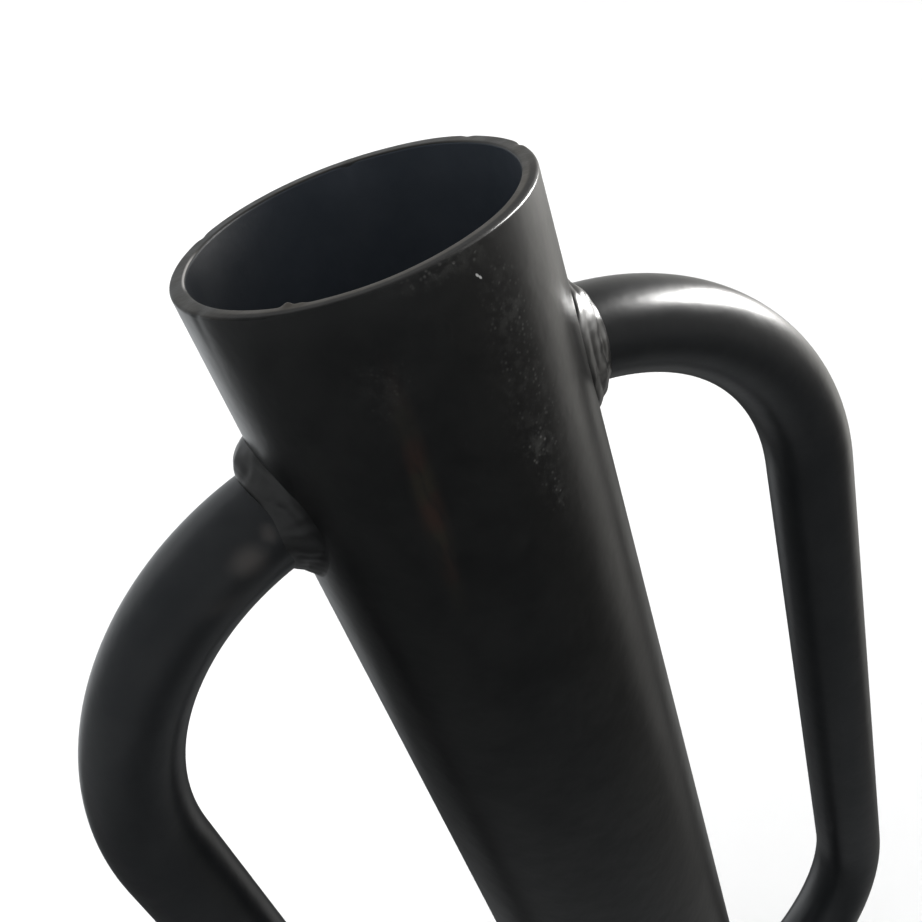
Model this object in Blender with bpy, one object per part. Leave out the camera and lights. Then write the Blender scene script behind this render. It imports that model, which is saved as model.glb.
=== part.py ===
"""A hand post driver: a steel barrel, open at the mouth and closed at the other end by a
strike plate, with two bent tube handles welded to its sides.

It stands on its closed end. The origin is the centre of that end, +Z runs along the barrel
towards the mouth, and both handles lie in the XZ plane, the right one on +X.
"""

import math

import bmesh
import bpy
from mathutils import Vector

# Driving dimensions, in metres. The barrel is 3 inch nominal tube.
BARREL_LENGTH = 0.610
BARREL_RADIUS = 0.0889 / 2
BARREL_WALL = 0.0040
EDGE_CHAMFER = 0.0008

PLATE_THICKNESS = 0.016
PLATE_RECESS = 0.005
PLATE_WELD_DOWN_BORE = 0.0035
PLATE_WELD_ACROSS_PLATE = 0.0045

HANDLE_RADIUS = 0.028 / 2
HANDLE_WALL = 0.0025
BEND_RADIUS = 0.0877
LEG_SLOPE = math.radians(10.8)
LEG_STRAIGHT = 0.0032
MOUTH_TO_RIGHT_HANDLE = 0.0561
MOUTH_TO_LEFT_HANDLE = 0.0620
HANDLE_SPAN = 0.400

WELD_ON_BARREL = 0.0070
WELD_ON_HANDLE = 0.0054
WELD_CROWN = 0.0010

# Welded pieces stop short of each other by this much, so that each stays its own solid.
GAP = 0.0003

BARREL_SIDES = 64
HANDLE_SIDES = 24
BEND_STEPS = 8

BORE_RADIUS = BARREL_RADIUS - BARREL_WALL

FINISHES = {
    # name: (colour, roughness, metallic)
    "black_paint": ((0.020, 0.021, 0.022, 1.0), 0.38, 0.0),
    "painted_weld": ((0.026, 0.026, 0.026, 1.0), 0.45, 0.0),
    "bare_plate": ((0.045, 0.042, 0.040, 1.0), 0.50, 0.4),
}


def clear_scene():
    for item in list(bpy.data.objects):
        bpy.data.objects.remove(item, do_unlink=True)


def finish(name):
    """The material of that name, made on first use."""
    material = bpy.data.materials.get(name)
    if material:
        return material
    colour, roughness, metallic = FINISHES[name]
    material = bpy.data.materials.new(name)
    material.use_nodes = True
    shader = material.node_tree.nodes["Principled BSDF"]
    shader.inputs["Base Color"].default_value = colour
    shader.inputs["Roughness"].default_value = roughness
    shader.inputs["Metallic"].default_value = metallic
    return material


def add_object(name, bm, material, smooth_angle=35.0):
    """Turns a finished bmesh into a smooth-shaded object in the scene."""
    bmesh.ops.recalc_face_normals(bm, faces=bm.faces)
    mesh = bpy.data.meshes.new(name)
    bm.to_mesh(mesh)
    bm.free()
    mesh.shade_smooth()
    mesh.set_sharp_from_angle(angle=math.radians(smooth_angle))
    mesh.materials.append(finish(material))
    item = bpy.data.objects.new(name, mesh)
    bpy.context.scene.collection.objects.link(item)
    return item


def add_loop(bm, points):
    """A closed loop of edges through the points."""
    corners = [bm.verts.new(point) for point in points]
    following = corners[1:] + corners[:1]
    return [bm.edges.new(pair) for pair in zip(corners, following)]


def bridge(bm, loops):
    """Skins each loop to the next, and the last to the first, so the surface closes on itself."""
    following = loops[1:] + loops[:1]
    for here, there in zip(loops, following):
        bmesh.ops.bridge_loops(bm, edges=here + there)


def turned(name, profile, material):
    """A ring turned about Z from a closed profile of (radius, height) points."""
    bm = bmesh.new()
    outline = [bm.verts.new((radius, 0.0, height)) for radius, height in profile]
    edges = [bm.edges.new(pair) for pair in zip(outline, outline[1:] + outline[:1])]
    bmesh.ops.spin(
        bm,
        geom=outline + edges,
        cent=(0.0, 0.0, 0.0),
        axis=(0.0, 0.0, 1.0),
        angle=math.tau,
        steps=BARREL_SIDES,
        use_merge=True,
    )
    return add_object(name, bm, material)


def make_barrel():
    low, high = 0.0, BARREL_LENGTH
    profile = [
        (BORE_RADIUS, low + EDGE_CHAMFER),
        (BORE_RADIUS + EDGE_CHAMFER, low),
        (BARREL_RADIUS - EDGE_CHAMFER, low),
        (BARREL_RADIUS, low + EDGE_CHAMFER),
        (BARREL_RADIUS, high - EDGE_CHAMFER),
        (BARREL_RADIUS - EDGE_CHAMFER, high),
        (BORE_RADIUS + EDGE_CHAMFER, high),
        (BORE_RADIUS, high - EDGE_CHAMFER),
    ]
    return turned("barrel", profile, "black_paint")


def make_strike_plate():
    """The disc that the head of the post meets, let into the closed end of the barrel."""
    bm = bmesh.new()
    bmesh.ops.create_cone(
        bm,
        cap_ends=True,
        segments=BARREL_SIDES,
        radius1=BORE_RADIUS - GAP,
        radius2=BORE_RADIUS - GAP,
        depth=PLATE_THICKNESS,
    )
    rims = [edge for edge in bm.edges if len({v.co.z for v in edge.verts}) == 1]
    bmesh.ops.bevel(bm, geom=rims, offset=EDGE_CHAMFER, segments=1, affect="EDGES")
    bmesh.ops.translate(bm, verts=bm.verts, vec=(0.0, 0.0, PLATE_RECESS + PLATE_THICKNESS / 2))
    return add_object("strike_plate", bm, "bare_plate")


def make_strike_plate_weld():
    """The fillet run around the plate, inside the recess of the closed end."""
    outer = BORE_RADIUS - GAP
    root = PLATE_RECESS - GAP
    toe_on_plate = outer - PLATE_WELD_ACROSS_PLATE
    toe_on_bore = root - PLATE_WELD_DOWN_BORE
    crown = (
        (outer + toe_on_plate) / 2 - WELD_CROWN / 2,
        (root + toe_on_bore) / 2 - WELD_CROWN / 2,
    )
    profile = [(outer, root), (toe_on_plate, root), crown, (outer, toe_on_bore)]
    return turned("strike_plate_weld", profile, "painted_weld")


def direction(slope):
    """The way the centreline runs when it slopes that far below horizontal."""
    return Vector((math.cos(slope), 0.0, -math.sin(slope)))


def outward(slope):
    """Square to the centreline there, towards the outside of the bend."""
    return Vector((math.sin(slope), 0.0, math.cos(slope)))


def handle_stations(root_height):
    """The centreline of a handle on +X as (point, slope) stations, from mouth leg to closed-end leg."""
    root = Vector((BARREL_RADIUS, 0.0, root_height))
    bend_start = root + LEG_STRAIGHT * direction(LEG_SLOPE)
    centre = bend_start - BEND_RADIUS * outward(LEG_SLOPE)
    middle = root_height - HANDLE_SPAN / 2
    half = [(bend_start, LEG_SLOPE)]
    for step in range(1, BEND_STEPS + 1):
        slope = LEG_SLOPE + (math.pi / 2 - LEG_SLOPE) * step / BEND_STEPS
        half.append((centre + BEND_RADIUS * outward(slope), slope))
    other_half = []
    for point, slope in reversed(half):
        mirrored = Vector((point.x, 0.0, 2 * middle - point.z))
        other_half.append((mirrored, math.pi - slope))
    return half + other_half


def section(station, radius):
    """The points around the handle's centreline at one station."""
    point, slope = station
    across = Vector((0.0, 1.0, 0.0))
    points = []
    for side in range(HANDLE_SIDES):
        turn = math.tau * side / HANDLE_SIDES
        points.append(point + radius * (math.cos(turn) * outward(slope) + math.sin(turn) * across))
    return points


def coped(stations, radius, standoff=0.0):
    """The points around the first leg where it comes that far off the barrel's surface."""
    reach = BARREL_RADIUS + GAP + standoff
    rings = [section(station, radius) for station in stations]
    along = direction(stations[0][1])
    inside_barrel = [point - along * (point.x / along.x) for point in rings[0]]
    points = []
    for row in zip(inside_barrel, *rings):
        surface = math.sqrt(reach * reach - row[0].y * row[0].y)
        for here, there in zip(row, row[1:]):
            if there.x >= surface:
                points.append(here.lerp(there, (surface - here.x) / (there.x - here.x)))
                break
    return points


def placed(points, side):
    """The points as they are on the right, or turned half round the barrel for the left."""
    return [Vector((side * point.x, side * point.y, point.z)) for point in points]


def make_handle(name, side, root_height):
    """A bent tube whose ends are cut to sit on the barrel."""
    stations = handle_stations(root_height)
    outer, inner = HANDLE_RADIUS, HANDLE_RADIUS - HANDLE_WALL
    from_far_end = stations[::-1]
    outside = [coped(stations, outer)]
    outside += [section(station, outer) for station in stations]
    outside += [coped(from_far_end, outer)]
    inside = [coped(stations, inner)]
    inside += [section(station, inner) for station in stations]
    inside += [coped(from_far_end, inner)]
    bm = bmesh.new()
    bridge(bm, [add_loop(bm, placed(points, side)) for points in outside + inside[::-1]])
    return add_object(name, bm, "black_paint")


def make_handle_weld(name, side, stations):
    """The fillet run around the first leg of a handle."""
    inner = HANDLE_RADIUS + GAP
    loops = [
        coped(stations, inner),
        coped(stations, inner + WELD_ON_BARREL),
        coped(stations, inner + WELD_ON_BARREL / 2 + WELD_CROWN, WELD_ON_HANDLE / 2 + WELD_CROWN),
        coped(stations, inner, WELD_ON_HANDLE),
    ]
    bm = bmesh.new()
    bridge(bm, [add_loop(bm, placed(points, side)) for points in loops])
    return add_object(name, bm, "painted_weld")


def main():
    clear_scene()
    make_barrel()
    make_strike_plate()
    make_strike_plate_weld()
    for name, side, from_mouth in (
        ("right", 1, MOUTH_TO_RIGHT_HANDLE),
        ("left", -1, MOUTH_TO_LEFT_HANDLE),
    ):
        root_height = BARREL_LENGTH - from_mouth
        stations = handle_stations(root_height)
        make_handle(f"handle_{name}", side, root_height)
        make_handle_weld(f"handle_{name}_mouth_weld", side, stations)
        make_handle_weld(f"handle_{name}_closed_end_weld", side, stations[::-1])


main()
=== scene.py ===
"""A hand post driver: a painted steel barrel, open at the mouth, with two welded tube handles.

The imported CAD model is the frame. Each piece here takes its size and place from it and stands
for one CAD node with a finer surface: hand-dressed saw cuts, lumpy weld beads and worn paint.
"""

import math

import bmesh
import bpy
from mathutils import Matrix, Vector, noise


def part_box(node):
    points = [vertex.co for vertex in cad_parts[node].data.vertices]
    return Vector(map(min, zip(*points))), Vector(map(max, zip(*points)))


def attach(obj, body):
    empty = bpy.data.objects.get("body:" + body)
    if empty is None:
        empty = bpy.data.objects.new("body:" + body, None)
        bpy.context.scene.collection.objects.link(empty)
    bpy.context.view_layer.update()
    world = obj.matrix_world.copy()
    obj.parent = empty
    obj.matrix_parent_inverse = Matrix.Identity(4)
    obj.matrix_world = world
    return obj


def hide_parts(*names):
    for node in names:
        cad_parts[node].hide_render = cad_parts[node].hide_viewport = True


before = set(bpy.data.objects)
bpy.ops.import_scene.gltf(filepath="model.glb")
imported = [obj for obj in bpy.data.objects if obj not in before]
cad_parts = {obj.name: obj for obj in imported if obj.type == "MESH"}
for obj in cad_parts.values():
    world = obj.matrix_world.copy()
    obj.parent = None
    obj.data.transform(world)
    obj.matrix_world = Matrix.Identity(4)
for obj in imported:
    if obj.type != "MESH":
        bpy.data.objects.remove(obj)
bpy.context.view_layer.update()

# Sizes that the frame gives, in metres. The plate stands clear of the bore by the fit gap.
FIT_GAP = 0.0003
BARREL_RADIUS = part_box("barrel")[1].x
BARREL_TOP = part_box("barrel")[1].z
PLATE_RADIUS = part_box("strike_plate")[1].x
BORE_RADIUS = PLATE_RADIUS + FIT_GAP
PLATE_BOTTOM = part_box("strike_plate")[0].z
PLATE_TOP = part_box("strike_plate")[1].z
HANDLE_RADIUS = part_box("handle_right")[1].y

# The handles' own shape, as the CAD has it. A bend leaves the tube a little flat.
HANDLE_WALL = 0.0025
HANDLE_SPAN = 0.400
BEND_RADIUS = 0.0877
LEG_SLOPE = math.radians(10.8)
LEG_STRAIGHT = 0.0032
BEND_FLATTENING = 0.02
# How many stations, from either end, a joint and its weld can reach over.
LEG_STATIONS = 12

# How finely each surface is cut.
BARREL_SIDES = 480
BARREL_ROW = 0.010
RIM_ROW = 0.0006
HANDLE_SIDES = 96
HANDLE_ROW = 0.008
BEND_STEPS = 44
WELD_STEPS = 480
BEAD_STEPS = 36
PLATE_SIDES = BARREL_SIDES // 2
PLATE_ROW = 0.0012
PLATE_EDGE_ROW = 0.002
PLATE_WELD_STEPS = WELD_STEPS * 2
ROUNDING_STEPS = 6

# The saw-cut ends of the barrel, and how far from an end the cut shows.
RIM_ROUNDING = 0.0008
SAW_WANDER = 0.00012
SAW_WAVES = 2.5
SAW_REACH = 0.002
# Marks on the mouth's edges: (degrees round the barrel, on the outer edge?, depth, width). A
# depth below zero is a burr that stands up. A mark also moves its edge sideways by a share.
RIM_MARKS = (
    (-129.0, False, -0.0008, 0.0012),
    (-125.0, False, -0.0003, 0.0012),
    (-4.0, True, 0.0004, 0.0014),
    (-161.0, True, 0.0003, 0.0016),
    (24.0, True, 0.0003, 0.0014),
    (71.0, False, 0.0003, 0.0014),
    (133.0, True, 0.0003, 0.0016),
)
MARK_REACH = 0.0011
MARK_SIDEWAYS = 0.7

# The handles' weld beads: legs on each surface, with unevenness as a share of the leg.
WELD_ON_BARREL = {"right": 0.0076, "left": 0.0064}
WELD_ON_HANDLE = {"right": 0.0060, "left": 0.0046}
WELD_UNEVENNESS = 0.16
WELD_UNEVEN_SIZE = 0.009
# Where a bead spread or drew in: (share of the way round from the bend's outer side, extra on
# the barrel, extra on the handle, width).
WELD_SWELLS = {
    ("right", "mouth"): (
        (0.85, 0.12, 0.22, 0.08),
        (0.98, -0.25, -0.30, 0.07),
        (0.53, -0.18, -0.16, 0.08),
    ),
    ("right", "closed_end"): ((0.20, 0.14, 0.10, 0.05),),
    ("left", "mouth"): (
        (0.00, 0.22, 0.26, 0.08),
        (0.27, 0.25, 0.10, 0.12),
        (0.50, -0.08, 0.0, 0.08),
    ),
    ("left", "closed_end"): ((0.70, 0.15, 0.0, 0.05),),
}
# How hollow a bead is: 1 leaves its section round and 2 makes it a straight slope. It is
# hollower towards the bend's inner side, and, most of all on the left, at the tube's two sides.
HOLLOW = 0.95
MORE_HOLLOW_ON_BARREL = 0.95
MORE_HOLLOW_ON_HANDLE = 0.85
HOLLOW_AT_SIDE = {"right": 0.2, "left": 2.0}

# A bead's surface: passes side by side that wander, lumps in two sizes, and faint ripples.
PASSES = 3.0
PASS_HEIGHT = {"right": 0.00040, "left": 0.00012, "plate": 0.00012}
PASS_FULLNESS = 0.8
PASS_WANDER = 0.35
PASS_WANDER_SIZE = 0.014
LUMP_HEIGHT = 0.0006
LUMP_SIZE = 0.009
FINE_LUMP_SHARE = 0.5
FINE_LUMP_SIZE = 0.4 * LUMP_SIZE
RIPPLE_PITCH = 0.0026
RIPPLE_HEIGHT = 0.00002
RIPPLE_LAG = 0.9
# The relief fades out towards the toes, which sink a little into the surfaces they lie on, and
# the bead's hidden root lies a little inside the corner.
RELIEF_FADE = 0.7
TOE_SINK = 0.00006
SINK_FADE = 3
ROOT_COVER = 0.05
# Each handle weld gets its own stretch of noise.
SEED_STEP = 3.7

# The strike plate, whose rings start outside a small middle that a fan of faces closes, the
# hollows that posts have beaten into it, and its weld.
PLATE_CHAMFER = 0.0012
PLATE_MIDDLE = 0.0005
DENT_DEPTH = 0.0006
DENT_SIZE = 0.014
DENT_SPREAD = 0.15
DENT_FADE = 4
PLATE_WELD_DOWN_BORE = 0.0038
PLATE_WELD_ACROSS = 0.0048
PLATE_WELD_HOLLOW = 1.2
PLATE_WELD_SEED = 9.0

# Where the barrel's coats change: inside the bore, and on the flat of the mouth.
BORE_COAT_WITHIN = BORE_RADIUS + 0.0001
RIM_COAT_ABOVE = BARREL_TOP - 0.0004


def smooth_object(name, mesh, paint):
    """A painted and smooth-shaded object in the scene."""
    mesh.shade_smooth()
    mesh.materials.append(paint)
    piece = bpy.data.objects.new(name, mesh)
    bpy.context.scene.collection.objects.link(piece)
    return piece


def skin(name, rings, paint, capped=False):
    """An object whose surface runs through closed rings of points.

    The last ring joins the first, or, where capped, each end closes on its own centre.
    """
    sides = len(rings[0])
    points = [point for ring in rings for point in ring]
    faces = []
    for row in range(len(rings) - 1 if capped else len(rings)):
        this = row * sides
        following = (row + 1) % len(rings) * sides
        for side in range(sides):
            beside = (side + 1) % sides
            faces.append((this + side, this + beside, following + beside, following + side))
    if capped:
        for ring, start in ((rings[0], 0), (rings[-1], (len(rings) - 1) * sides)):
            centre = len(points)
            points.append(sum(ring, Vector()) / sides)
            faces += [(start + side, start + (side + 1) % sides, centre) for side in range(sides)]
    mesh = bpy.data.meshes.new(name)
    mesh.from_pydata([tuple(point) for point in points], [], faces)
    bm = bmesh.new()
    bm.from_mesh(mesh)
    bmesh.ops.recalc_face_normals(bm, faces=bm.faces)
    bm.to_mesh(mesh)
    bm.free()
    return smooth_object(name, mesh, paint)


def stand_for(piece, node):
    """The piece shows in place of that CAD node, on the one rigid body."""
    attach(piece, "root")
    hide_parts(node)


def steps(low, high, spacing):
    """Evenly spaced values strictly between the two."""
    count = max(1, round(abs(high - low) / spacing))
    return [low + (high - low) * step / count for step in range(1, count)]


def rounded_corner(corner, before, after, radius):
    """The points of a quarter round at a square corner of a section.

    The section comes to the corner from the direction before and leaves it towards after, both
    given as unit directions away from the corner.
    """
    centre = corner + radius * (before + after)
    turns = [math.pi / 2 * step / ROUNDING_STEPS for step in range(ROUNDING_STEPS + 1)]
    return [centre - radius * (math.cos(turn) * after + math.sin(turn) * before) for turn in turns]


def wall_section(inner, outer, low, high, rounding):
    """A tube's wall in section, as (radius, height) points round its four rounded corners."""
    up, out = Vector((0.0, 1.0)), Vector((1.0, 0.0))
    outline = rounded_corner(Vector((outer, low)), -out, up, rounding)
    outline += [Vector((outer, z)) for z in steps(low + rounding, high - rounding, BARREL_ROW)]
    outline += rounded_corner(Vector((outer, high)), -up, -out, rounding)
    outline += [Vector((r, high)) for r in steps(outer - rounding, inner + rounding, RIM_ROW)]
    outline += rounded_corner(Vector((inner, high)), out, -up, rounding)
    outline += [Vector((inner, z)) for z in steps(high - rounding, low + rounding, BARREL_ROW)]
    outline += rounded_corner(Vector((inner, low)), up, out, rounding)
    outline += [Vector((r, low)) for r in steps(inner + rounding, outer - rounding, RIM_ROW)]
    return outline


def dressed(radius, height, angle):
    """Where a point of the barrel's wall really is, after the saw's wander and the knocks."""
    spot = Vector((math.cos(angle), math.sin(angle), 0.0))
    near_mouth = math.exp(-(((BARREL_TOP - height) / SAW_REACH) ** 2))
    near_base = math.exp(-((height / SAW_REACH) ** 2))
    saw = SAW_WANDER * noise.noise(spot * SAW_WAVES)
    height -= near_mouth * (SAW_WANDER + saw)
    # The barrel stands on its base, so the cut there only goes up from the lowest point.
    height += near_base * max(0.0, saw) / 2
    for degrees, on_outer_edge, depth, width in RIM_MARKS:
        edge = BARREL_RADIUS if on_outer_edge else BORE_RADIUS
        away = math.remainder(angle - math.radians(degrees), math.tau) * edge
        strength = math.exp(-(away / width) ** 2)
        strength *= math.exp(-((radius - edge) ** 2 + (height - BARREL_TOP) ** 2) / MARK_REACH**2)
        height -= depth * strength
        radius += (-MARK_SIDEWAYS if on_outer_edge else MARK_SIDEWAYS) * depth * strength
    return Vector((radius * math.cos(angle), radius * math.sin(angle), height))


def coat(piece, paint, covers):
    """Puts another paint on the faces that covers(distance from the axis, height) picks."""
    piece.data.materials.append(paint)
    for face in piece.data.polygons:
        if covers(face.center.xy.length, face.center.z):
            face.material_index = len(piece.data.materials) - 1


def make_barrel(paint):
    section = wall_section(BORE_RADIUS, BARREL_RADIUS, 0.0, BARREL_TOP, RIM_ROUNDING)
    angles = [math.tau * side / BARREL_SIDES for side in range(BARREL_SIDES)]
    rings = [[dressed(point.x, point.y, angle) for angle in angles] for point in section]
    piece = skin("barrel_tube", rings, paint)
    coat(piece, bore_paint(), lambda radius, height: radius < BORE_COAT_WITHIN)
    coat(piece, rim_paint(), lambda radius, height: height > RIM_COAT_ABOVE)
    stand_for(piece, "barrel")


def direction(slope):
    """The way a centreline runs when it slopes that far below horizontal."""
    return Vector((math.cos(slope), 0.0, -math.sin(slope)))


def outward(slope):
    """Square to the centreline there, towards the outside of the bend."""
    return Vector((math.sin(slope), 0.0, math.cos(slope)))


def handle_stations(node):
    """A handle's centreline on +X as (point, slope, share of full bend), from its mouth leg."""
    low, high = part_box(node)
    middle = (low.z + high.z) / 2
    root = Vector((BARREL_RADIUS, 0.0, middle + HANDLE_SPAN / 2))
    bend_start = root + LEG_STRAIGHT * direction(LEG_SLOPE)
    centre = bend_start - BEND_RADIUS * outward(LEG_SLOPE)
    half = [(bend_start, LEG_SLOPE, 0.0)]
    for step in range(1, BEND_STEPS + 1):
        share = step / BEND_STEPS
        slope = LEG_SLOPE + (math.pi / 2 - LEG_SLOPE) * share
        half.append((centre + BEND_RADIUS * outward(slope), slope, math.sin(math.pi * share)))
    grip = half[-1][0]
    for height in steps(grip.z, middle, HANDLE_ROW):
        half.append((Vector((grip.x, 0.0, height)), math.pi / 2, 0.0))
    other_half = [
        (Vector((point.x, 0.0, 2 * middle - point.z)), math.pi - slope, bent)
        for point, slope, bent in reversed(half)
    ]
    return half + [(Vector((grip.x, 0.0, middle)), math.pi / 2, 0.0)] + other_half


def section_at(station, radius, sides):
    """The points round the handle's centreline at one station."""
    point, slope, bent = station
    ring = []
    for side in range(sides):
        turn = math.tau * side / sides
        in_plane = radius * math.cos(turn) * (1 - BEND_FLATTENING * bent)
        across = radius * math.sin(turn) * (1 + BEND_FLATTENING * bent / 2)
        ring.append(point + in_plane * outward(slope) + Vector((0.0, across, 0.0)))
    return ring


def coped(stations, radius, sides, standoff=0.0):
    """The points round the first leg where it comes that far off the barrel's surface."""
    reach = BARREL_RADIUS + standoff
    rings = [section_at(station, radius, sides) for station in stations[:LEG_STATIONS]]
    along = direction(stations[0][1])
    inside_barrel = [point - along * (point.x / along.x) for point in rings[0]]
    ring = []
    for row in zip(inside_barrel, *rings):
        surface = math.sqrt(reach * reach - row[0].y * row[0].y)
        for here, there in zip(row, row[1:]):
            if there.x >= surface:
                ring.append(here.lerp(there, (surface - here.x) / (there.x - here.x)))
                break
    return ring


def turned_for(side, points):
    """The points as they are on the right, or turned half round the barrel for the left."""
    return [Vector((side * point.x, side * point.y, point.z)) for point in points]


def make_handle(node, side, paint):
    stations = handle_stations(node)
    far_end_first = stations[::-1]
    outer, inner = HANDLE_RADIUS, HANDLE_RADIUS - HANDLE_WALL
    rings = [coped(stations, outer, HANDLE_SIDES)]
    rings += [section_at(station, outer, HANDLE_SIDES) for station in stations]
    rings += [coped(far_end_first, outer, HANDLE_SIDES), coped(far_end_first, inner, HANDLE_SIDES)]
    rings += [section_at(station, inner, HANDLE_SIDES) for station in far_end_first]
    rings += [coped(stations, inner, HANDLE_SIDES)]
    piece = skin(f"{node}_tube", [turned_for(side, ring) for ring in rings], paint)
    stand_for(piece, node)


def relief(spot, share, across, ripples, pass_height, seed):
    """How far a bead's surface stands off its plain section there."""
    shifted = spot + Vector((seed, 0.0, 0.0))
    wander = PASS_WANDER * noise.noise(shifted / PASS_WANDER_SIZE)
    passes = abs(math.sin(math.pi * (PASSES * across + wander))) ** PASS_FULLNESS - 0.5
    lump = noise.noise(shifted / LUMP_SIZE)
    lump += FINE_LUMP_SHARE * noise.noise(shifted / FINE_LUMP_SIZE)
    ripple = math.cos(math.tau * (ripples * share + RIPPLE_LAG * (2 * across - 1) ** 2))
    return pass_height * passes + LUMP_HEIGHT * lump + RIPPLE_HEIGHT * ripple


def bead(name, corners, pass_height, seed, paint):
    """A weld laid along a corner between two surfaces, in several passes.

    Each of corners is (root, toe on one surface, toe on the other, hollowness at each toe), all
    the way round.
    """
    length = sum((a[0] - b[0]).length for a, b in zip(corners, corners[1:] + corners[:1]))
    ripples = round(length / RIPPLE_PITCH)
    rings = []
    for step, (root, toe, other_toe, hollow, other_hollow) in enumerate(corners):
        share = step / len(corners)
        to_toe, to_other = toe - root, other_toe - root
        ring = []
        for rise in range(BEAD_STEPS + 1):
            across = rise / BEAD_STEPS
            quarter = across * math.pi / 2
            crown = to_toe * math.cos(quarter) ** other_hollow
            crown += to_other * math.sin(quarter) ** hollow
            raised = relief(root + crown, share, across, ripples, pass_height, seed)
            raised *= math.sin(math.pi * across) ** RELIEF_FADE
            sink = to_other.normalized() * (1 - across) ** SINK_FADE
            sink += to_toe.normalized() * across**SINK_FADE
            ring.append(root + crown + crown.normalized() * raised - sink * TOE_SINK)
        ring.append(root - (to_toe + to_other) * ROOT_COVER)
        rings.append(ring)
    return skin(name, rings, paint)


def swelling(share, swells):
    """How much further than usual a bead reaches there, on the barrel and on the handle."""
    on_barrel = on_handle = 0.0
    for place, extra_on_barrel, extra_on_handle, width in swells:
        strength = math.exp(-((math.remainder(share - place, 1.0) / width) ** 2))
        on_barrel += extra_on_barrel * strength
        on_handle += extra_on_handle * strength
    return on_barrel, on_handle


def hollowness(name, step):
    """How hollow a handle's bead is there, at its toe on the barrel and its toe on the handle."""
    turn = math.tau * step / WELD_STEPS
    inner_side = (1 - math.cos(turn)) / 2
    at_side = HOLLOW_AT_SIDE[name] * abs(math.sin(turn))
    at_barrel_toe = HOLLOW + MORE_HOLLOW_ON_BARREL * inner_side + at_side
    at_handle_toe = HOLLOW + MORE_HOLLOW_ON_HANDLE * inner_side**2 + at_side / 2
    return at_barrel_toe, at_handle_toe


def make_handle_weld(name, end, side, stations, seed, paint):
    """The bead round one leg of a handle. The stations start from that leg."""
    roots = coped(stations, HANDLE_RADIUS, WELD_STEPS)
    barrel_toes = coped(stations, HANDLE_RADIUS + WELD_ON_BARREL[name], WELD_STEPS)
    handle_toes = coped(stations, HANDLE_RADIUS, WELD_STEPS, WELD_ON_HANDLE[name])
    away = Vector((seed, 0.0, 0.0))
    corners = []
    for step, (root, barrel_toe, handle_toe) in enumerate(zip(roots, barrel_toes, handle_toes)):
        on_barrel, on_handle = swelling(step / WELD_STEPS, WELD_SWELLS[name, end])
        on_barrel += WELD_UNEVENNESS * noise.noise(root / WELD_UNEVEN_SIZE + away)
        on_handle += WELD_UNEVENNESS * noise.noise(root / WELD_UNEVEN_SIZE - away)
        barrel_toe = root.lerp(barrel_toe, 1 + on_barrel)
        barrel_toe.xy *= BARREL_RADIUS / barrel_toe.xy.length
        points = turned_for(side, (root, barrel_toe, root.lerp(handle_toe, 1 + on_handle)))
        corners.append((*points, *hollowness(name, step)))
    node = f"handle_{name}_{end}_weld"
    piece = bead(f"{node}_bead", corners, PASS_HEIGHT[name], seed, paint)
    stand_for(piece, node)


def plate_section():
    """The strike plate in section, as (radius, height) points over its top, edge and underside."""
    out_to, in_to = PLATE_RADIUS - PLATE_CHAMFER, PLATE_MIDDLE
    # The chamfers take the place of the edge's first and last points.
    edge = steps(PLATE_TOP, PLATE_BOTTOM, PLATE_EDGE_ROW)[1:-1]
    inward, up = Vector((-1, 0)), Vector((0, 1))
    section = [Vector((r, PLATE_TOP)) for r in steps(in_to, out_to, PLATE_ROW)]
    section += rounded_corner(Vector((PLATE_RADIUS, PLATE_TOP)), inward, -up, PLATE_CHAMFER)
    section += [Vector((PLATE_RADIUS, z)) for z in edge]
    section += rounded_corner(Vector((PLATE_RADIUS, PLATE_BOTTOM)), up, inward, PLATE_CHAMFER)
    section += [Vector((r, PLATE_BOTTOM)) for r in steps(out_to, in_to, PLATE_ROW)]
    return section


def make_plate(steel):
    """The strike plate: a turned disc whose upper face has taken the posts' blows."""
    rings = []
    for point in plate_section():
        ring = []
        for side in range(PLATE_SIDES):
            angle = math.tau * side / PLATE_SIDES
            spot = Vector((point.x * math.cos(angle), point.x * math.sin(angle), point.y))
            if point.y > PLATE_TOP - PLATE_CHAMFER / 2:
                beaten = max(0.0, noise.noise(spot / DENT_SIZE) + DENT_SPREAD)
                spot.z -= DENT_DEPTH * beaten * (1 - (point.x / PLATE_RADIUS) ** DENT_FADE)
            ring.append(spot)
        rings.append(ring)
    piece = skin("strike_plate_disc", rings, steel, capped=True)
    stand_for(piece, "strike_plate")


def make_plate_weld(paint):
    """The bead in the corner between the plate's underside and the bore."""
    corners = []
    for step in range(PLATE_WELD_STEPS):
        angle = math.tau * step / PLATE_WELD_STEPS
        out = Vector((math.cos(angle), math.sin(angle), 0.0))
        root = out * BORE_RADIUS + Vector((0.0, 0.0, PLATE_BOTTOM))
        on_plate = root - out * PLATE_WELD_ACROSS
        on_bore = root - Vector((0.0, 0.0, PLATE_WELD_DOWN_BORE))
        corners.append((root, on_plate, on_bore, PLATE_WELD_HOLLOW, PLATE_WELD_HOLLOW))
    piece = bead("strike_plate_weld_bead", corners, PASS_HEIGHT["plate"], PLATE_WELD_SEED, paint)
    stand_for(piece, "strike_plate_weld")


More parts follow.
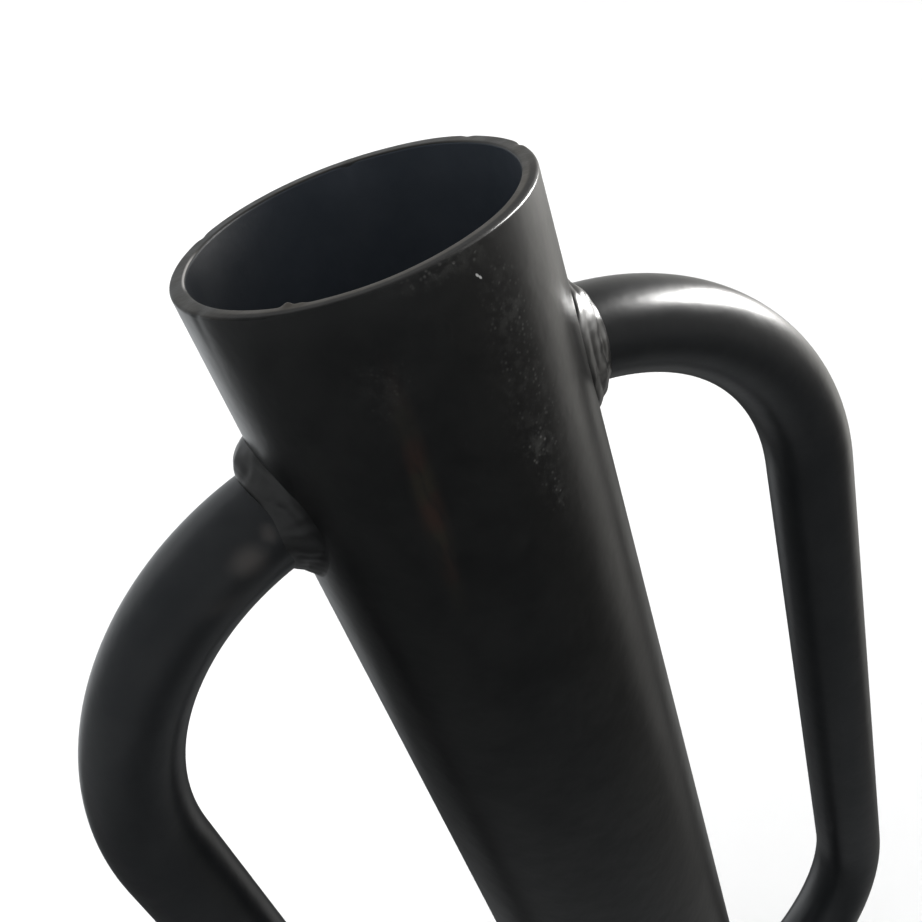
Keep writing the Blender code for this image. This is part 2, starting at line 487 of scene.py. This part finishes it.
class Nodes:
    """The node tree of a material or a world, with short ways to add nodes to it."""

    def __init__(self, owner, place="Object"):
        owner.use_nodes = True
        self.owner = owner
        self.tree = owner.node_tree
        self.place = self.add("ShaderNodeTexCoord").outputs[place]

    def add(self, kind, **settings):
        node = self.tree.nodes.new(kind)
        for name, value in settings.items():
            setattr(node, name, value)
        return node

    def join(self, source, target):
        self.tree.links.new(source, target)

    def feed(self, target, value):
        """Sets a socket to a plain value, or links another socket to it."""
        if isinstance(value, bpy.types.NodeSocket):
            self.join(value, target)
        else:
            target.default_value = value

    def noise(self, scale, detail=3.0, roughness=0.5, place=None):
        node = self.add("ShaderNodeTexNoise")
        self.join(place or self.place, node.inputs["Vector"])
        node.inputs["Scale"].default_value = scale
        node.inputs["Detail"].default_value = detail
        node.inputs["Roughness"].default_value = roughness
        return node.outputs["Fac"]

    def spots(self, scale):
        """The distance to the nearest of many scattered points, and a random colour for each."""
        node = self.add("ShaderNodeTexVoronoi")
        self.join(self.place, node.inputs["Vector"])
        node.inputs["Scale"].default_value = scale
        return node.outputs["Distance"], node.outputs["Color"]

    def ramp(self, value, low, high, from_value=0.0, to_value=1.0):
        """value carried from low..high to from_value..to_value, smoothly, and held beyond."""
        node = self.add("ShaderNodeMapRange", interpolation_type="SMOOTHSTEP")
        self.feed(node.inputs["Value"], value)
        for name, number in (
            ("From Min", low),
            ("From Max", high),
            ("To Min", from_value),
            ("To Max", to_value),
        ):
            node.inputs[name].default_value = number
        return node.outputs["Result"]

    def math(self, operation, first, second):
        node = self.add("ShaderNodeMath", operation=operation)
        self.feed(node.inputs[0], first)
        self.feed(node.inputs[1], second)
        return node.outputs[0]

    def times(self, first, second):
        return self.math("MULTIPLY", first, second)

    def plus(self, first, second):
        return self.math("ADD", first, second)

    def mix(self, factor, first, second):
        node = self.add("ShaderNodeMix", data_type="RGBA")
        self.feed(node.inputs["Factor"], factor)
        self.feed(node.inputs["A"], first)
        self.feed(node.inputs["B"], second)
        return node.outputs["Result"]

    def stretched(self, *scale):
        """The place on the object with each axis scaled."""
        node = self.add("ShaderNodeMapping")
        self.join(self.place, node.inputs["Vector"])
        node.inputs["Scale"].default_value = scale
        return node.outputs["Vector"]

    def axes(self):
        """The place on the object, or the direction in a world, as separate X, Y and Z."""
        split = self.add("ShaderNodeSeparateXYZ")
        self.join(self.place, split.inputs["Vector"])
        return split.outputs["X"], split.outputs["Y"], split.outputs["Z"]

    def patch(self, centre, size, turn=0.0):
        """1 at a place, falling to 0 over an ellipsoid of that half size, turned about Y."""
        node = self.add("ShaderNodeMapping", vector_type="TEXTURE")
        self.join(self.place, node.inputs["Vector"])
        node.inputs["Location"].default_value = centre
        node.inputs["Rotation"].default_value = (0.0, turn, 0.0)
        node.inputs["Scale"].default_value = size
        length = self.add("ShaderNodeVectorMath", operation="LENGTH")
        self.join(node.outputs["Vector"], length.inputs[0])
        return self.ramp(length.outputs["Value"], 0.0, 1.0, 1.0, 0.0)

    def patches(self, marks):
        """The sum of several patches, each of its own strength."""
        total = None
        for centre, size, strength in marks:
            patch = self.times(self.patch(centre, size), strength)
            total = self.plus(total, patch) if total else patch
        return total

    def bump(self, height, distance, strength):
        node = self.add("ShaderNodeBump")
        node.inputs["Strength"].default_value = strength
        node.inputs["Distance"].default_value = distance
        self.join(height, node.inputs["Height"])
        return node.outputs["Normal"]

    def finish(self, colour, roughness, normal, specular=0.5):
        shader = self.tree.nodes["Principled BSDF"]
        self.feed(shader.inputs["Base Color"], colour)
        self.feed(shader.inputs["Roughness"], roughness)
        self.feed(shader.inputs["Normal"], normal)
        shader.inputs["Specular IOR Level"].default_value = specular
        return self.owner


def on_barrel(degrees, height):
    """The point on the barrel's outside at that angle from +X and that height."""
    angle = math.radians(degrees)
    return (BARREL_RADIUS * math.cos(angle), BARREL_RADIUS * math.sin(angle), height)


# Marks on the paint: (place, half sizes along X, Y and Z, strength).
DUST = (
    (on_barrel(-70.5, 0.575), (0.013, 0.010, 0.046), 0.32),
    (on_barrel(-69.5, 0.594), (0.008, 0.006, 0.012), 0.36),
    (on_barrel(-74.5, 0.5575), (0.006, 0.006, 0.007), 0.62),
    (on_barrel(-72.5, 0.5440), (0.005, 0.006, 0.009), 0.40),
    (on_barrel(-82.0, 0.6080), (0.020, 0.012, 0.0035), 0.45),
    (on_barrel(-110.0, 0.5880), (0.010, 0.010, 0.012), 0.16),
)
# Lighter grey patches on the left handle, beside its weld at the mouth.
GREY_PATCHES = (
    ((-0.0572, -0.0136, 0.5478), (0.0070, 0.0060, 0.0060), 1.0),
    ((-0.0500, -0.0134, 0.5520), (0.0030, 0.0040, 0.0040), 0.7),
    ((-0.0680, -0.0140, 0.5400), (0.0080, 0.0050, 0.0035), 0.3),
)
# A rust stain down the barrel, and two bright flecks that make one scratch.
RUST_AT = on_barrel(-111.0, 0.559)
RUST_SIZE = (0.0041, 0.012, 0.042)
RUST_TURN = math.radians(4.0)
FLECKS = (on_barrel(-76.95, 0.60318), on_barrel(-76.25, 0.60245))
FLECK_SIZE = (0.00042, 0.0020, 0.00085)
FLECK_TURN = math.radians(-30.0)

# Colours, in pairs where a surface runs from the first to the second.
BARREL_BLACKS = ((0.0022, 0.0025, 0.0027, 1.0), (0.0052, 0.0054, 0.0054, 1.0))
# The handles' black, lighter than the barrel's: painted light on the same enamel.
HANDLE_LIGHTENED_BLACKS = ((0.0080, 0.0090, 0.0104, 1.0), (0.0110, 0.0119, 0.0130, 1.0))
BORE_GREYS = ((0.030, 0.036, 0.045, 1.0), (0.041, 0.047, 0.057, 1.0))
# Painted shade on the bore's wall towards -X.
BORE_PAINTED_SHADE = (0.004, 0.005, 0.007, 1.0)
RIM_BLACKS = ((0.0030, 0.0030, 0.0028, 1.0), (0.0105, 0.0090, 0.0066, 1.0))
RIM_BROWN = (0.0190, 0.0155, 0.0110, 1.0)
# Painted shade on the outer band of the rim's near side.
RIM_OUTER_PAINTED_SHADE = (0.0030, 0.0030, 0.0030, 1.0)
# A painted highlight on the inner lip.
LIP_PAINTED_HIGHLIGHT = (0.30, 0.29, 0.28, 1.0)
WELD_BLACKS = ((0.0015, 0.0016, 0.0018, 1.0), (0.0042, 0.0040, 0.0036, 1.0))
SOOT_BROWN = (0.014, 0.011, 0.008, 1.0)
STAIN_BROWNS = ((0.0210, 0.0088, 0.0054, 1.0), (0.0150, 0.0125, 0.0066, 1.0))
PATCH_GREY = (0.042, 0.038, 0.036, 1.0)
HAZE_GREY = (0.034, 0.034, 0.032, 1.0)
SPECK_GREY = (0.120, 0.118, 0.112, 1.0)
FLECK_WHITE = (0.42, 0.42, 0.41, 1.0)
PLATE_BLACK = (0.012, 0.012, 0.012, 1.0)
PLATE_STEEL = (0.16, 0.15, 0.14, 1.0)
PLATE_RUST = (0.075, 0.030, 0.014, 1.0)
FLOOR_GREYS = ((0.73, 0.73, 0.73, 1.0), (0.77, 0.77, 0.77, 1.0))
SKY_COLOURS = ((0.95, 0.98, 1.0, 1.0), (1.0, 0.98, 0.93, 1.0))

# Roughness, in pairs where a surface runs from the first to the second. Below about 0.28 the
# denoiser takes a surface for a mirror, and its noise comes out as dark dots.
ENAMEL_ROUGHNESS = (0.285, 0.34)
WELD_ROUGHNESS = (0.285, 0.38)
BORE_ROUGHNESS = (0.42, 0.55)
RIM_ROUGHNESS = (0.38, 0.50)
RIM_OUTER_DULLER_BY = 0.32
PLATE_ROUGHNESS = (0.48, 0.36)
FLOOR_ROUGHNESS = 0.75

# How strongly a coat mirrors where it isn't the usual 0.5.
WELD_SPECULAR = 1.0
BORE_SPECULAR = 0.12
FLOOR_SPECULAR = 0.2

# Where the rim's colour changes, by the square of the distance from the axis and by place along
# X or Y: a painted highlight on the inner lip at the left, and the near side, whose outer band is
# darkened as painted shade.
LIP_EDGE = ((BORE_RADIUS + 0.0003) ** 2, (BORE_RADIUS + 0.0009) ** 2)
LIP_ALONG_X = (-0.030, -0.036)
LIP_ALONG_Y = ((0.000, 0.006), (0.025, 0.018))
NEAR_SIDE = (-0.010, -0.028)
OUTER_BAND = ((BORE_RADIUS + 0.0015) ** 2, (BORE_RADIUS + 0.0024) ** 2)

# The struck middle of the plate, as half sizes, and how fully it is beaten bare.
STRUCK_SIZE = (0.036, 0.036, 0.004)
STRUCK_BARE = 1.6


def stained(nodes, colour):
    """The colour with the rust stain and lighter grey patches over it."""
    long_spots = nodes.noise(300.0, place=nodes.stretched(1.0, 1.0, 0.25))
    streaks = nodes.ramp(long_spots, 0.26, 0.52)
    rust = nodes.patch(RUST_AT, RUST_SIZE, RUST_TURN)
    stain = nodes.mix(nodes.ramp(nodes.noise(120.0), 0.40, 0.60), *STAIN_BROWNS)
    colour = nodes.mix(nodes.times(rust, streaks), colour, stain)
    return nodes.mix(nodes.patches(GREY_PATCHES), colour, PATCH_GREY)


def dusted(nodes, colour):
    """The colour with settled dust over it, as a haze and as specks."""
    settled = nodes.patches(DUST)
    clouds = nodes.ramp(nodes.noise(380.0, detail=4.0), 0.44, 0.64)
    colour = nodes.mix(nodes.times(settled, clouds), colour, HAZE_GREY)
    distance, random = nodes.spots(950.0)
    near_spot = nodes.ramp(distance, 0.05, 0.55, 1.0, 0.0)
    speck = nodes.times(near_spot, nodes.ramp(random, 0.50, 0.85))
    return nodes.mix(nodes.times(speck, settled), colour, SPECK_GREY)


def satin_enamel(name, dark, light):
    """Satin black enamel, faintly wavy, with settled dust and a few marks."""
    nodes = Nodes(bpy.data.materials.new(name))
    clouds = nodes.ramp(nodes.noise(60.0, detail=5.0, roughness=0.7), 0.35, 0.65)
    colour = dusted(nodes, stained(nodes, nodes.mix(clouds, dark, light)))
    for fleck_at in FLECKS:
        fleck = nodes.patch(fleck_at, FLECK_SIZE, FLECK_TURN)
        colour = nodes.mix(nodes.ramp(fleck, 0.15, 0.60), colour, FLECK_WHITE)
    handled = nodes.noise(45.0, detail=5.0, roughness=0.6)
    roughness = nodes.ramp(handled, 0.3, 0.7, *ENAMEL_ROUGHNESS)
    waves = nodes.bump(nodes.noise(150.0, detail=2.0), 0.0006, 0.2)
    return nodes.finish(colour, roughness, waves)


def bore_paint():
    """The thinner, dustier coat that reached the inside of the barrel, with painted shade towards
    -X.
    """
    nodes = Nodes(bpy.data.materials.new("bore_enamel"))
    clouds = nodes.ramp(nodes.noise(30.0, detail=5.0, roughness=0.6), 0.3, 0.7)
    colour = nodes.mix(clouds, *BORE_GREYS)
    roughness = nodes.ramp(nodes.noise(70.0, detail=4.0), 0.3, 0.7, *BORE_ROUGHNESS)
    across, _, _ = nodes.axes()
    # Painted shade: the bore's colour darkens towards -X.
    colour = nodes.mix(nodes.ramp(across, -0.040, -0.008, 0.30, 0.0), colour, BORE_PAINTED_SHADE)
    grain = nodes.bump(nodes.noise(500.0), 0.0003, 0.2)
    return nodes.finish(colour, roughness, grain, specular=BORE_SPECULAR)


def rim_paint():
    """The coat on the saw-cut mouth: thin over the grain, and browned where hands and posts rub."""
    nodes = Nodes(bpy.data.materials.new("rim_enamel"))
    worn = nodes.ramp(nodes.noise(55.0, detail=4.0), 0.35, 0.70)
    colour = nodes.mix(worn, *RIM_BLACKS)
    roughness = nodes.ramp(nodes.noise(220.0, detail=4.0), 0.3, 0.7, *RIM_ROUGHNESS)
    across, away, _ = nodes.axes()
    square = nodes.plus(nodes.times(across, across), nodes.times(away, away))
    # A painted highlight along the inner lip at the left.
    lip_highlight = nodes.ramp(square, *LIP_EDGE, 1.0, 0.0)
    lip_highlight = nodes.times(lip_highlight, nodes.ramp(across, *LIP_ALONG_X))
    for start, stop in LIP_ALONG_Y:
        lip_highlight = nodes.times(lip_highlight, nodes.ramp(away, start, stop))
    near = nodes.ramp(away, *NEAR_SIDE)
    # The near side's outer band: painted shade in the colour, and a duller finish.
    shaded_outer_band = nodes.times(near, nodes.ramp(square, *OUTER_BAND))
    colour = nodes.mix(near, colour, RIM_BROWN)
    colour = nodes.mix(shaded_outer_band, colour, RIM_OUTER_PAINTED_SHADE)
    colour = nodes.mix(lip_highlight, colour, LIP_PAINTED_HIGHLIGHT)
    roughness = nodes.plus(roughness, nodes.times(shaded_outer_band, RIM_OUTER_DULLER_BY))
    grain = nodes.bump(nodes.noise(900.0), 0.0002, 0.25)
    return nodes.finish(colour, roughness, grain)


def painted_weld():
    """The same enamel over a weld bead, with soot in its hollows."""
    nodes = Nodes(bpy.data.materials.new("enamel_on_weld"))
    clouds = nodes.ramp(nodes.noise(90.0, detail=4.0), 0.35, 0.65)
    colour = nodes.mix(clouds, *WELD_BLACKS)
    pointiness = nodes.add("ShaderNodeNewGeometry").outputs["Pointiness"]
    colour = nodes.mix(nodes.ramp(pointiness, 0.49, 0.42), colour, SOOT_BROWN)
    roughness = nodes.ramp(nodes.noise(160.0), 0.3, 0.7, *WELD_ROUGHNESS)
    grain = nodes.bump(nodes.noise(300.0), 0.0003, 0.15)
    return nodes.finish(colour, roughness, grain, specular=WELD_SPECULAR)


def struck_steel():
    """A strike plate: dark paint beaten back to bare steel where posts have met it."""
    nodes = Nodes(bpy.data.materials.new("beaten_steel"))
    bare = nodes.times(nodes.patch((0, 0, PLATE_TOP), STRUCK_SIZE), STRUCK_BARE)
    blows = nodes.ramp(nodes.noise(110.0, detail=6.0, roughness=0.65), 0.42, 0.56)
    bare = nodes.times(bare, blows)
    colour = nodes.mix(bare, PLATE_BLACK, PLATE_STEEL)
    rust = nodes.ramp(nodes.noise(60.0, detail=5.0, roughness=0.6), 0.56, 0.70, 0.0, 0.6)
    colour = nodes.mix(rust, colour, PLATE_RUST)
    roughness = nodes.ramp(bare, 0.0, 1.0, *PLATE_ROUGHNESS)
    scuffs = nodes.bump(nodes.noise(500.0, detail=4.0), 0.0003, 0.35)
    return nodes.finish(colour, roughness, scuffs)


def make_object():
    bead_paint = painted_weld()
    # The handles get a lightened copy of the barrel's enamel, as painted light.
    lightened_tube_paint = satin_enamel("handle_enamel_lightened", *HANDLE_LIGHTENED_BLACKS)
    make_barrel(satin_enamel("barrel_enamel", *BARREL_BLACKS))
    make_plate(struck_steel())
    make_plate_weld(bead_paint)
    seed = 0.0
    for name, side in (("right", 1), ("left", -1)):
        make_handle(f"handle_{name}", side, lightened_tube_paint)
        stations = handle_stations(f"handle_{name}")
        for end, legs in (("mouth", stations), ("closed_end", stations[::-1])):
            seed += SEED_STEP
            make_handle_weld(name, end, side, legs, seed, bead_paint)


# The camera, as the photograph was taken: close, from above and in front, and rolled.
CAMERA_AT = Vector((-0.04895, -0.21128, 0.68345))
CAMERA_AIM = Vector((0.00442, -0.00112, 0.53545))
CAMERA_ROLL = math.radians(-20.16)
CAMERA_LENS = 37.52
NEAREST_SEEN = 0.01

# The studio is one pale sheet: a round floor, in rings at these shares of its radius, that
# sweeps up into a low wall.
FLOOR_RADIUS = 3.0
FLOOR_RINGS = (0.1, 0.3, 0.5, 0.7, 0.9)
SWEEP_RADIUS = 1.2
SWEEP_STEPS = 16
WALL_TOP = 3.0
STUDIO_SIDES = 96

# The lights: place, aim, turn about the aim in degrees, width, height, watts, colour, and
# whether it is mirrored. A mirrored light gives highlights only, and the others none.
LIGHTS = {
    "key_softbox": (
        (1.15, 0.05, 0.83), (0.15, 0.0, 0.54), 50.0, 0.28, 0.95, 46.0, (1.0, 0.99, 0.97), True
    ),
    "overhead_light": (
        (0.0, 0.5, 3.2), (0.0, 0.5, 0.0), 0.0, 4.0, 4.0, 150.0, (1.0, 1.0, 1.0), False
    ),
    "wall_light": (
        (0.0, 1.6, 2.6), (0.0, 3.8, 1.2), 0.0, 4.0, 0.8, 54.0, (1.0, 1.0, 1.0), False
    ),
}


def place_camera():
    forward = (CAMERA_AIM - CAMERA_AT).normalized()
    level = forward.cross(Vector((0.0, 0.0, 1.0))).normalized()
    upright = level.cross(forward)
    right = math.cos(CAMERA_ROLL) * level + math.sin(CAMERA_ROLL) * upright
    up = math.cos(CAMERA_ROLL) * upright - math.sin(CAMERA_ROLL) * level
    camera = bpy.data.objects.new("camera", bpy.data.cameras.new("camera"))
    bpy.context.scene.collection.objects.link(camera)
    turned = Matrix((right, up, -forward)).transposed()
    camera.matrix_world = Matrix.Translation(CAMERA_AT) @ turned.to_4x4()
    camera.data.lens = CAMERA_LENS
    camera.data.clip_start = NEAREST_SEEN
    bpy.context.scene.camera = camera


def place_lights():
    for name, (place, aim, turn, width, height, watts, colour, mirrored) in LIGHTS.items():
        lamp = bpy.data.lights.new(name, "AREA")
        lamp.shape = "RECTANGLE"
        lamp.size = width
        lamp.size_y = height
        lamp.energy = watts
        lamp.color = colour
        light = bpy.data.objects.new(name, lamp)
        bpy.context.scene.collection.objects.link(light)
        light.location = place
        light.rotation_euler = (Vector(aim) - Vector(place)).to_track_quat("-Z", "Y").to_euler()
        light.rotation_euler.rotate_axis("Z", math.radians(turn))
        light.visible_camera = False
        light.visible_glossy = mirrored
        light.visible_diffuse = not mirrored


def studio_section():
    """The studio's sheet in section, as (radius, height) points from the middle outwards."""
    section = [Vector((FLOOR_RADIUS * share, 0.0)) for share in FLOOR_RINGS]
    for step in range(SWEEP_STEPS + 1):
        turn = math.pi / 2 * step / SWEEP_STEPS
        radius = FLOOR_RADIUS + SWEEP_RADIUS * math.sin(turn)
        section.append(Vector((radius, SWEEP_RADIUS * (1 - math.cos(turn)))))
    section.append(Vector((FLOOR_RADIUS + SWEEP_RADIUS, WALL_TOP)))
    return section


def pale_floor():
    nodes = Nodes(bpy.data.materials.new("pale_floor"))
    colour = nodes.mix(nodes.noise(1.5, detail=2.0), *FLOOR_GREYS)
    grain = nodes.bump(nodes.noise(90.0), 0.0005, 0.1)
    return nodes.finish(colour, FLOOR_ROUGHNESS, grain, specular=FLOOR_SPECULAR)


def make_studio():
    """The pale sheet that the object stands on. The paint doesn't mirror it."""
    section = studio_section()
    turns = [math.tau * side / STUDIO_SIDES for side in range(STUDIO_SIDES)]
    points = [
        (point.x * math.cos(turn), point.x * math.sin(turn), point.y)
        for point in section
        for turn in turns
    ]
    faces = [tuple(range(STUDIO_SIDES))]
    for row in range(len(section) - 1):
        this, following = row * STUDIO_SIDES, (row + 1) * STUDIO_SIDES
        for side in range(STUDIO_SIDES):
            beside = (side + 1) % STUDIO_SIDES
            faces.append((this + side, following + side, following + beside, this + beside))
    mesh = bpy.data.meshes.new("floor")
    mesh.from_pydata(points, [], faces)
    floor = smooth_object("floor", mesh, pale_floor())
    floor.visible_glossy = False


def bearing(azimuth, elevation):
    """The unit direction at an azimuth from +Y towards +X and an elevation, both in degrees."""
    turn, rise = math.radians(azimuth), math.radians(elevation)
    level = math.cos(rise)
    return Vector((math.sin(turn) * level, math.cos(turn) * level, math.sin(rise)))


# Soft light thrown up from the floor: (direction, radius in degrees, strength).
GLOWS = (
    (bearing(72.0, -19.0), 30.0, 1.00),
    (bearing(86.0, -40.0), 20.0, 0.40),
    (bearing(48.0, -48.0), 15.0, 0.30),
    (bearing(-24.0, -28.0), 24.0, 0.52),
)
# The room's brightness by height: (from, to, brightness at from, brightness at to), multiplied.
ROOM = ((-0.60, -0.15, 0.08, 0.31), (-0.10, 0.35, 1.0, 0.74), (0.60, 0.90, 1.0, 0.60))
# The bright wall at the back, which leans by this share of the height and fades at its foot
# and its top.
WALL = (0.42, 0.78, 0.0, 0.48)
WALL_LEAN = 0.3
WALL_FADES = ((-0.66, -0.42, 0.0, 1.0), (0.75, 0.92, 1.0, 0.0))
STRAIGHT_BELOW = (-0.98, -0.75, 0.22, 0.0)
# The sky is a little warmer towards +X.
WARM_SIDE = (0.0, 0.8)


def sky_strength(nodes, away, height):
    """How bright the surroundings are in each direction."""
    room = nodes.ramp(height, *ROOM[0])
    for fade in ROOM[1:]:
        room = nodes.times(room, nodes.ramp(height, *fade))
    behind = nodes.plus(away, nodes.times(height, WALL_LEAN))
    wall = nodes.ramp(behind, *WALL)
    for fade in WALL_FADES:
        wall = nodes.times(wall, nodes.ramp(height, *fade))
    strength = nodes.plus(nodes.plus(room, wall), nodes.ramp(height, *STRAIGHT_BELOW))
    for middle, radius, brightness in GLOWS:
        toward = nodes.add("ShaderNodeVectorMath", operation="DOT_PRODUCT")
        nodes.join(nodes.place, toward.inputs[0])
        toward.inputs[1].default_value = middle
        edge = math.cos(math.radians(radius))
        glow = nodes.ramp(toward.outputs["Value"], edge, 1.0, 0.0, brightness)
        strength = nodes.plus(strength, glow)
    return strength


def make_surroundings():
    """What the paint mirrors: a pale room, brighter behind the object, over a dim floor."""
    world = bpy.data.worlds.new("studio")
    nodes = Nodes(world, "Generated")
    across, away, height = nodes.axes()
    sky = nodes.tree.nodes["Background"]
    nodes.join(nodes.mix(nodes.ramp(across, *WARM_SIDE), *SKY_COLOURS), sky.inputs["Color"])
    nodes.join(sky_strength(nodes, away, height), sky.inputs["Strength"])
    bpy.context.scene.world = world


def main():
    make_object()
    place_camera()
    make_studio()
    make_surroundings()
    place_lights()
    bpy.context.scene.view_settings.view_transform = "Standard"


main()
